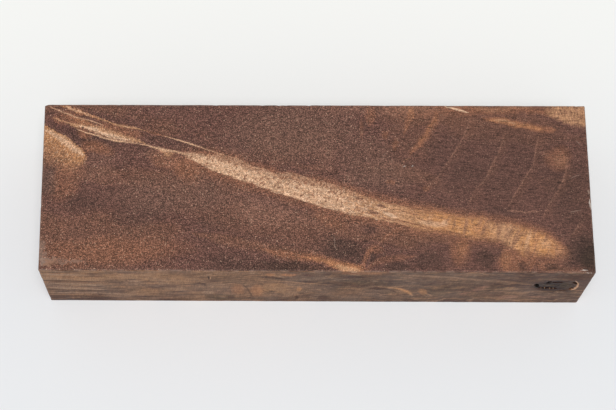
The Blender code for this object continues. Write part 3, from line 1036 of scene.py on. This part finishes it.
FRONT_COLOURS = ((-65, "drab"), (-30, "drab"), (-8, "drab"), (4, "mauve"), (30, "mauve"), (65, "grey"))
FRONT_TINTS = (
    ("honey", 0.9, (-55, 21), 18, 5, 0),
    ("honey", 0.8, (-53.5, 19.6), 4.6, 3.6, 0),
    ("fawn", 0.5, (-57, 12.6), 12, 2.4, -3),
    ("mauve", 0.8, (-60, 9.2), 10, 1.5, -3),
    ("mauve", 0.6, (-48.5, 17.4), 4, 2.4, -12),
    ("mauve", 0.6, (-48, 9), 8, 4, -10),
    ("honey", 0.8, (-38.5, 20), 9, 6, 0),
    ("honey", 0.6, (-33, 16), 5, 7, 0),
    ("honey", 0.5, (-42, 9), 6, 4, 0),
    ("mauve", 0.9, (-21.5, 18.6), 4.6, 3.6, 0),
    # The dark tints low down here, at -39 and 33 along, and the mauve one at -12 darken the foot of the front
    # face: painted shade along its bottom edge, over the wood's own darker figure
    ("dark", 0.9, (-58, 1.8), 13, 3.8, -3),
    ("dark", 0.6, (-39, 2.2), 10, 3.2, 0),
    ("olive", 0.9, (-22.5, 3.4), 5.4, 3.6, 0),
    ("honey", 0.8, (-9, 11.5), 6.5, 5.5, 0),
    ("mauve", 0.9, (-6, 19.8), 11, 2.2, -14),
    ("olive", 0.8, (8, 16.4), 11, 3.2, 0),
    ("drab", 0.8, (9, 7.6), 8, 6, 0),
    ("drab", 0.7, (20, 7), 6, 6, 0),
    ("drab", 0.8, (28, 21), 11, 2.8, -8),
    ("olive", 0.7, (30, 10), 5, 5, 0),
    ("dark", 0.7, (33, 1.6), 7, 2.6, 0),
    # Painted shade along the bottom of the front face, in the middle
    ("mauve", 0.8, (-12, 2.4), 10, 2.6, 0),
    ("mauve", 0.7, (40, 14), 12, 8, 0),
    ("drab", 0.6, (46, 6), 9, 6, 0),
    ("olive", 0.9, (55, 22), 11, 4.6, 0),
    ("dark", 0.6, (62.6, 20), 6, 6, 0),
    ("dark", 0.5, (54, 19), 18, 10, 0),
    ("dark", 0.5, (55, 25), 20, 5, 0),
    ("mauve", 0.8, (60, 8), 8, 8, 0),
    ("olive", 0.5, (43, 13), 4, 4, 0),
)

FRONT_PATCHES = (
    ("fawn", 0.6, (-43, 16.9), 1.9, 0.7, -5),
    ("dark", 0.9, (-43.5, 18.4), 2.2, 0.35, -3),
    ("dark", 0.8, (-40.2, 17.4), 1.2, 0.3, -5),
    ("dark", 0.6, (-45.1, 17.6), 0.3, 0.8, 0),
    ("dark", 0.8, (-27.4, 15.6), 1.7, 1.1, -52),
    ("dark", 0.6, (-26.6, 13.6), 0.8, 0.5, -30),
    ("fawn", 0.6, (-25.8, 8), 2, 2, 0),
    ("dark", 0.8, (-20.8, 3.6), 1.8, 1.9, 0),
    ("orange", 0.4, (-18.9, 10.4), 2, 5.8, 0),
    ("orange", 0.45, (-14.3, 9.6), 2.1, 6.2, 0),
    ("honey", 0.7, (-9.5, 13.5), 3.6, 3.6, 0),
    ("honey", 0.5, (-6.4, 7), 2.6, 1.6, 0),
    ("amber", 0.4, (-4, 11), 0.9, 2.6, 0),
    ("mauve", 0.9, (-10.6, 8.8), 1.3, 1.1, -30),
    ("dark", 0.9, (-4.6, 3.8), 0.7, 2.4, 0),
    ("dark", 0.8, (1.8, 3.6), 1.9, 3, 0),
    ("fawn", 0.6, (-15.2, 24.4), 1.8, 0.9, 0),
    ("orange", 0.5, (-11.2, 23.2), 1.4, 1.6, 0),
    ("orange", 0.7, (-6.8, 23), 2.2, 1.5, 0),
    ("orange", 0.4, (10, 24.9), 8, 1.8, 0),
    ("pale", 0.4, (8.5, 25.7), 0.9, 0.5, 0),
    ("dark", 0.8, (-8.5, 20.3), 4.4, 0.6, -6),
    ("dark", 0.9, (-2.2, 17.4), 3.2, 0.8, -14),
    ("dark", 0.7, (5, 16.5), 5.4, 1.6, 0),
    ("dark", 0.9, (9.6, 21.8), 6.6, 0.9, 0),
    ("dark", 0.9, (14.8, 11.9), 2.6, 1.5, -10),
    ("dark", 0.7, (17.2, 18), 1.6, 1.1, 0),
    ("dark", 0.5, (23.5, 19), 1.8, 1.4, 0),
    ("dark", 0.8, (26.9, 15.7), 2.2, 0.7, 40),
    ("amber", 0.4, (26, 9.2), 1.4, 3.8, 14),
    ("drab", 0.8, (29.5, 13.5), 2.2, 1.6, 30),
    ("dark", 0.7, (41.5, 22.8), 5.4, 1.4, 0),
    ("dark", 0.6, (50, 22.2), 5.5, 1.2, 0),
    ("dark", 0.6, (44, 15), 3.6, 1.6, -10),
    ("dark", 0.7, (42, 10.6), 0.8, 3, -30),
    ("rose", 0.6, (39.6, 12.6), 1.4, 4, -34),
    ("rose", 0.5, (36.2, 8), 0.8, 2.4, -34),
    ("rose", 0.5, (47, 5), 3.4, 1.8, 10),
    ("rose", 0.4, (55, 5.5), 4, 1.4, 0),
    ("dark", 0.45, (55, 21), 13, 6, 0),
    ("dark", 0.6, (64.5, 20), 2.6, 8, 0),
)

FRONT_STREAKS = (
    ("dark", 0.6, 0.1, ((-66, 24.2, 0.3), (-60, 24, 0.4), (-52, 23.6, 0.1))),
    ("fawn", 0.8, 0.1, ((-66, 22.4, 0.7), (-60, 22.3, 0.8), (-54, 22, 0.5), (-50, 21.8, 0.2))),
    ("fawn", 0.7, 0.1, ((-66, 18.6, 0.6), (-62, 18.4, 0.7), (-56, 18, 0.3))),
    ("dark", 1, 0.1, (
        (-66, 17.4, 0.35), (-60, 17, 0.45), (-55, 16.7, 0.4), (-50, 16.6, 0.3), (-46, 16.2, 0.1),
    )),
    ("fawn", 0.9, 0.1, (
        (-66, 15.5, 0.7), (-60, 14.8, 0.9), (-56, 14.4, 0.7), (-52, 13.8, 0.3), (-48, 13, 0.1),
    )),
    ("dark", 0.7, 0.1, ((-66, 13.4, 0.3), (-60, 13, 0.45), (-54, 12.3, 0.35), (-48, 11.8, 0.1))),
    ("fawn", 0.8, 0.1, ((-66, 11.4, 0.5), (-60, 11, 0.6), (-54, 10.2, 0.6), (-49, 9.6, 0.2))),
    ("dark", 0.9, 0.1, ((-66, 9.8, 0.3), (-60, 9.5, 0.5), (-52, 8.9, 0.5), (-46, 8, 0.3), (-40, 7.2, 0.1))),
    ("fawn", 0.8, 0.1, ((-66, 7.2, 0.5), (-60, 7, 0.7), (-52, 6.8, 0.6), (-44, 6, 0.2))),
    ("dark", 0.8, 0.1, (
        (-36.5, 15.2, 0.05), (-34.5, 15, 0.25), (-32.5, 15.2, 0.3), (-30.5, 14.7, 0.3), (-28.5, 15.3, 0.3),
        (-27.5, 15.6, 0.1),
    )),
    ("dark", 0.6, 0.1, (
        (-18, 15.4, 0.12), (-17.3, 14, 0.3), (-16.5, 11, 0.35), (-16, 8, 0.4), (-15.6, 5.5, 0.45),
        (-15.4, 4, 0.2),
    )),
    ("dark", 0.8, 0.1, (
        (-13.6, 11, 0.15), (-12.8, 9.8, 0.4), (-11.8, 8.2, 0.45), (-11, 7.4, 0.45), (-9.8, 6.9, 0.4),
        (-8.3, 6.6, 0.2),
    )),
    ("dark", 0.8, 0.1, ((-4.8, 8.8, 0.15), (-4.2, 8, 0.4), (-3, 7, 0.4), (-2.2, 6.4, 0.1))),
    ("fawn", 0.8, 0.1, ((-2.5, 20.6, 0.1), (0, 20.6, 0.4), (2.5, 20.4, 0.4), (5.5, 19.6, 0.1))),
    ("honey", 0.9, 0.1, (
        (-16, 19, 0.1), (-14, 18.8, 0.5), (-9, 17.9, 0.55), (-4, 16.4, 0.5), (0, 15.6, 0.4), (4, 14.8, 0.1),
    )),
    ("dark", 0.8, 0.1, (
        (13.5, 13.8, 0.2), (15, 12.6, 0.7), (17.5, 11, 0.8), (19, 9.3, 0.7), (20.4, 7, 0.2),
    )),
    ("honey", 1, 0, (
        (14.5, 13.8, 0.2), (16, 13.3, 0.6), (19, 12.4, 1.4), (21.5, 10.4, 1.7), (23, 7.8, 1.3),
        (24, 5.2, 0.4),
    )),
    ("amber", 0.45, 0, (
        (17, 13.1, 0.4), (19.5, 12, 1.2), (21.5, 10.2, 1.5), (22.6, 8.2, 1.2), (23.4, 6.4, 0.4),
    )),
    ("drab", 0.9, 0, (
        (16, 23.6, 0.6), (22, 22.9, 1.8), (28, 22.2, 1.8), (33, 21, 1.7), (38, 19.8, 1.6), (43, 18.6, 1.7),
        (47, 17.6, 1.4), (51, 16.6, 0.3),
    )),
    ("fawn", 0.4, 0, ((20, 23.6, 0.3), (26, 22.6, 0.9), (33, 21.4, 0.8), (40, 19.3, 0.9), (47, 17.9, 0.3))),
    ("dark", 0.7, 0.1, ((38, 17, 0.1), (42, 16.2, 0.5), (46, 15.8, 0.5), (50, 15.3, 0.4), (52, 15.1, 0.1))),
    ("soot", 0.9, 0.2, (
        (-25.6, 18.9, 0.08), (-25.6, 19.5, 0.22), (-25.65, 20.5, 0.26), (-25.7, 21.4, 0.2),
        (-25.7, 21.9, 0.08),
    )),
    ("cream", 0.6, 0.1, ((-25.2, 19, 0.05), (-25.15, 20.3, 0.2), (-25.2, 21.5, 0.05))),
)

# The knot's dark surround, grey heart and pale bark crescent on the front map
KNOT_TINTS = (
    ("dark", 0.8, (57.5, 14.8), 7.2, 6.6, 0),
    ("soot", 0.9, (57.3, 14.9), 5.9, 5.6, 0),
    ("olive", 0.6, (59.6, 15.4), 1.7, 3.2, 0),
    # These two black patches sit at the mouths of pits and paint shade there
    ("black", 0.8, (53, 14.4), 0.9, 2.4, 10),
    ("black", 0.7, (55.2, 16.9), 1, 0.9, 0),
    ("olive", 0.7, (55.6, 15.1), 2, 0.9, 0),
)
# Pale fibres that bridge the lower slot: place along x, then z, and half its height
SLOT_FIBRES = ((54.2, 12.9, 0.4), (55.0, 12.5, 0.6), (55.9, 12.7, 0.5), (56.4, 12.3, 0.9), (57.2, 12.4, 0.6))
BARK_CRESCENT = (
    (61.2, 19.6, 0.1), (61.6, 18.8, 0.25), (62, 18, 0.3), (62.35, 16.8, 0.32), (62.55, 15.6, 0.35),
    (62.6, 14.4, 0.42), (62.45, 13.2, 0.5), (62.1, 12.2, 0.5), (61.6, 11.3, 0.2),
)


def lay_knot(art, colour, x, z, grain, depth):
    """The dark knot with the pale bark crescent on its right, and painted shade in its pits, blacker the
    deeper they go.
    """
    colour = lay_patches(art, colour, x, z, KNOT_TINTS, "knot_tints")
    charred = art.noise(grain, (0.9, 0.9, 0.45), shift=(5, 5, 1), detail=3.0)
    near = art.patch(x, z, KNOT_MIDDLE, (6.4, 5.8), core=0.5)
    colour = art.cover(colour, "black", art.times(near, art.ramp(charred, 0.5, 0.62, 0.0, 0.6)))
    away_x = art.math("MULTIPLY_ADD", x, 1 / KNOT_RADII[0], -KNOT_HEART[0] / KNOT_RADII[0])
    away_z = art.math("MULTIPLY_ADD", z, 1 / KNOT_RADII[1], -KNOT_HEART[1] / KNOT_RADII[1])
    away = art.math("MULTIPLY_ADD", away_z, away_z, art.times(away_x, away_x))
    away = art.math("SQRT", away)
    wave = art.math("SINE", art.math("MULTIPLY_ADD", away, 42.0, art.noise(grain, 1.2, detail=1.0)))
    heart = art.times(art.ramp(away, 0.62, 0.35), art.ramp(wave, 0.2, 1.0, 0.0, 0.35))
    colour = art.cover(colour, "olive", heart)
    colour = art.cover(colour, "cream", art.strand(x, z, BARK_CRESCENT, 0.2, 0.75))
    # Painted shade inside the pits: black, darker the deeper each pit goes
    colour = art.cover(colour, "black", art.ramp(depth, 0.22, 0.8, 0.0, 0.94))
    for place, up, half_height in SLOT_FIBRES:
        fibre = art.patch(x, z, (place, up), (0.18, half_height), -8, strength=0.6)
        colour = art.cover(colour, "fawn", fibre)
    return colour


def front_figure(art, place, grain, depth):
    """The figure of the front map: stripes at the left, swirls in the middle, the knot at the right."""
    far_x, _, _ = art.split(place)
    swirled = art.noise_shift(place, 7.0, art.ramp(far_x, -50, 0, 0.0, 7.0), shift=(2, 0, 9))
    loose_x, _, loose_z = art.split(art.noise_shift(place, 3.0, 2.6, shift=(8, 0, 3)))
    rough_x, _, rough_z = art.split(art.noise_shift(place, 1.4, 1.4, shift=(4, 0, 7)))
    x, _, z = art.split(art.noise_shift(place, 1.1, 0.5, shift=(5, 0, 2)))
    colour = colour_along(art, x, FRONT_COLOURS)
    colour = lay_patches(art, colour, loose_x, loose_z, FRONT_TINTS, "front_tints")
    broad = art.noise(swirled, (8.0, 4.0, 1.5), shift=(1, 1, 4), detail=3.0, flat="y")
    colour = art.cover(colour, "honey", art.ramp(broad, 0.5, 0.66, 0.0, 0.6))
    colour = art.cover(colour, "dark", art.ramp(broad, 0.48, 0.34, 0.0, 0.6))
    fine = art.noise(swirled, (3.0, 2.0, 0.4), shift=(6, 1, 4), detail=3.0, flat="y")
    colour = art.cover(colour, "fawn", art.ramp(fine, 0.52, 0.7, 0.0, 0.6))
    colour = art.cover(colour, "shade", art.ramp(fine, 0.46, 0.3, 0.0, 0.7))
    colour = lay_patches(art, colour, rough_x, rough_z, FRONT_PATCHES, "front_patches")
    colour = lay_streaks(art, colour, x, z, FRONT_STREAKS, "front_streaks")
    chatter = art.noise(place, (0.42, 2.0, 2.6), turn=-6, shift=(3, 1, 7), detail=1.0, flat="y")
    colour = art.brighten(colour, art.ramp(chatter, 0.25, 0.75, 0.84, 1.16))
    return art.layer("knot", lay_knot, colour, x, z, grain, depth)


# What all sides share


def lay_pores(art, colour, grain, x, on_front):
    """Mottled, speckled grain and fine fibres, pale dust-filled pores and short dark ones."""
    mottle = art.noise(grain, (1.5, 0.7, 0.7), turn=-4, shift=(1, 2, 3), detail=2.0, rough=0.6)
    speckle = art.noise(grain, (0.21, 0.17, 0.17), shift=(4, 9, 6), detail=1.0)
    fibres = art.noise(grain, (2.2, 0.22, 0.22), turn=-2, shift=(4, 5, 6), detail=1.0)
    fibre_share = art.ramp(x, -10, 30, 0.5, 1.4)
    shades = art.ramp(mottle, 0.25, 0.75, 0.84, 1.09)
    calm = art.math("MULTIPLY_ADD", on_front, -0.55, 1.0)
    open_share = art.times(calm, art.ramp(x, 34, 4, 0.6, 1.0))
    speckle = art.times(art.ramp(speckle, 0.42, 0.74, -0.49, 1.35), open_share)
    wood_red = art.split_colour(colour)[0]
    speckle = art.times(speckle, art.ramp(wood_red, 0.18, 0.5, 1.0, 0.6))
    shades = art.math("ADD", shades, speckle)
    fibres = art.times(art.minus(fibres, 0.5), fibre_share)
    colour = art.brighten(colour, art.math("MAXIMUM", art.math("ADD", fibres, shades), 0.1))
    dots = art.specks(grain, (0.5, 0.42, 0.42), 0.75, 0.35, shift=(7, 3, 1))
    glow = art.times(calm, art.times(dots, art.ramp(x, 34, 4, 0.45, 1.0)))
    red = art.split_colour(colour)[0]
    glow = art.times(glow, art.ramp(red, 0.04, 0.15, 0.1, 1.0))
    colour = art.mix(colour, PORE_GLOW, glow, "SCREEN")
    slits = art.specks(grain, (1.4, 0.3, 0.3), 0.4, 0.35, shift=(5, 1, 8), turn=-2)
    return art.cover(colour, "dark", art.times(slits, 0.5)), dots, slits


def wear_edges(art, colour, edge_gap, grain):
    """Slightly pale, scuffed edges."""
    patchy = art.noise(grain, 2.2, shift=(6, 6, 2), detail=3.0)
    worn = art.times(art.ramp(edge_gap, 0.5, 0.12, 0.0, 0.4), art.ramp(patchy, 0.42, 0.62, 0.15, 1.0))
    return art.cover(colour, "scuff", worn)


def make_wood():
    """The stabilized walnut burl: figure, pores, worn edges, satin gloss and fine relief."""
    material = new_material("stabilized_walnut_burl")
    art = Shading(material.node_tree)
    shader = material.node_tree.nodes["Principled BSDF"]
    objects = art.add("ShaderNodeTexCoord", {}).outputs["Object"]
    sawn = art.vector("SCALE", objects, scale=1 / MM)
    sawn_x, sawn_y, z = art.split(sawn)
    x = art.math("MULTIPLY_ADD", sawn_y, END_SKEW / (2 * HALF_DEPTH), sawn_x)
    x = art.math("MULTIPLY_ADD", z, -END_LEAN / HEIGHT, art.math("ADD", x, END_LEAN / 2))
    widening = art.math("MULTIPLY_ADD", x, TAPER / (4 * HALF_LENGTH * HALF_DEPTH), 1.0)
    y = art.math("DIVIDE", sawn_y, widening)
    grain = art.join(x, y, z)

    # How far each place is from each pair of sides, and which side it is on
    end_gap = art.minus(HALF_LENGTH, art.math("ABSOLUTE", x))
    side_gap = art.minus(HALF_DEPTH, art.math("ABSOLUTE", y))
    top_gap = art.minus(HEIGHT, z)
    flat_gap = art.math("MINIMUM", top_gap, z)
    front_depth = art.math("ADD", y, HALF_DEPTH)
    others = art.math("MINIMUM", end_gap, flat_gap)
    on_front = art.ramp(art.minus(others, front_depth), -0.12, 0.12)
    in_pit = art.times(art.ramp(others, 3.0, 6.0), art.ramp(front_depth, 4.0, 3.0))
    on_front = art.math("MAXIMUM", on_front, in_pit)
    two_sides = art.math("ADD", end_gap, side_gap)
    edge_gap = art.math("MINIMUM", two_sides, art.math("ADD", end_gap, flat_gap))
    edge_gap = art.math("MINIMUM", edge_gap, art.math("ADD", side_gap, flat_gap))

    # Below the top face, the top map is drawn in towards the middle and bent more and more
    share = art.math("DIVIDE", top_gap, HEIGHT)
    narrow = art.math("MULTIPLY_ADD", share, -MAP_NARROWER, 1.0)
    shorten = art.math("MULTIPLY_ADD", share, -MAP_SHORTER, 1.0)
    map_x = art.math("MULTIPLY_ADD", x, shorten, art.times(share, MAP_DRIFT[0]))
    map_y = art.math("MULTIPLY_ADD", y, narrow, art.times(share, MAP_DRIFT[1]))
    flat_place = art.join(map_x, map_y, 0.0)
    bend = art.vector("SUBTRACT", art.noise_shift(grain, 22.0, 26.0, shift=(3, 3, 3)), grain)
    flat_place = art.vector("ADD", flat_place, art.vector("SCALE", bend, scale=share))
    flat_place = art.vector("MULTIPLY", flat_place, (1.0, 1.0, 0.0))

    colour = art.layer("top_figure", top_figure, flat_place, grain)
    front_place = art.vector("MULTIPLY", grain, (1.0, 0.0, 1.0))
    front = art.layer("front_figure", front_figure, front_place, grain, front_depth, light=FRONT_LIGHT)
    colour = art.mix(colour, front, on_front)
    colour, dots, slits = art.layer("pores", lay_pores, colour, grain, x, on_front)
    colour = art.layer("marks", lay_marks, colour, flat_place, top_gap)
    colour = art.layer("worn_edges", wear_edges, colour, edge_gap, grain)
    art.feed(shader.inputs["Base Color"], colour)

    smudges = art.noise(grain, 9.0, shift=(8, 8, 8), detail=2.0)
    rough = art.ramp(smudges, 0.3, 0.7, 0.52, 0.64)
    rough = art.math("MULTIPLY_ADD", dots, 0.2, rough)
    art.feed(shader.inputs["Roughness"], rough)

    shader.inputs["Specular IOR Level"].default_value = SPECULAR_LEVEL
    relief = art.noise(grain, (1.2, 0.16, 0.16), shift=(3, 2, 1), detail=2.0)
    relief = art.math("MULTIPLY_ADD", slits, -0.8, relief)
    relief = art.math("MULTIPLY_ADD", dots, -0.5, relief)
    bump = art.add("ShaderNodeBump", {"Height": relief, "Strength": BUMP_STRENGTH, "Distance": BUMP_DEPTH})
    art.feed(shader.inputs["Normal"], bump.outputs[0])
    return material


# Studio


def make_floor():
    bpy.ops.mesh.primitive_plane_add(size=FLOOR_SIZE)
    floor = bpy.context.active_object
    floor.name = "studio_floor"
    material = new_material("pale_floor")
    art = Shading(material.node_tree)
    shader = material.node_tree.nodes["Principled BSDF"]
    place = art.add("ShaderNodeTexCoord", {}).outputs["Object"]
    along = art.split(place)[1]
    # Painted shade and light: the floor darker and bluer in front, brighter behind
    colour = art.mix(FLOOR_NEAR_SHADED, FLOOR_FAR_LIT, art.ramp(along, -0.02, 0.07))
    art.feed(shader.inputs["Base Color"], colour)
    shader.inputs["Roughness"].default_value = 0.6
    shader.inputs["Specular IOR Level"].default_value = 0.2
    floor.data.materials.append(material)


def make_lights():
    world = bpy.data.worlds.new("studio")
    bpy.context.scene.world = world
    world.use_nodes = True
    sky = world.node_tree.nodes["Background"]
    sky.inputs["Color"].default_value = SKY_COLOUR
    sky.inputs["Strength"].default_value = SKY_STRENGTH

    lamp = bpy.data.lights.new("soft_overhead", "SUN")
    lamp.energy = SUN_STRENGTH
    lamp.angle = math.radians(SUN_SPREAD)
    lamp.color = SUN_COLOUR
    sun = bpy.data.objects.new("soft_overhead", lamp)
    sun.rotation_euler = (math.radians(SUN_LEAN), 0.0, 0.0)
    bpy.context.scene.collection.objects.link(sun)


def make_camera():
    """The photograph's viewpoint: above the front, a little to the left."""
    data = bpy.data.cameras.new("camera")
    data.lens = CAMERA_LENS
    data.sensor_width = CAMERA_SENSOR
    data.clip_start = 0.01
    data.clip_end = 20
    camera = bpy.data.objects.new("camera", data)
    place = Matrix.Translation(Vector(CAMERA_PLACE) * MM)
    turn = Matrix.Rotation(math.radians(CAMERA_TURN), 4, "Z")
    tilt = Matrix.Rotation(math.radians(CAMERA_TILT), 4, "X")
    roll = Matrix.Rotation(math.radians(CAMERA_ROLL), 4, "Z")
    camera.matrix_world = place @ turn @ tilt @ roll
    bpy.context.scene.collection.objects.link(camera)
    bpy.context.scene.camera = camera


def main():
    block = make_block()
    block.data.materials.append(make_wood())
    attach(block, "root")
    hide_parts(NODE)
    make_floor()
    make_lights()
    make_camera()
    bpy.context.scene.view_settings.view_transform = "Standard"
    bpy.context.view_layer.update()


main()
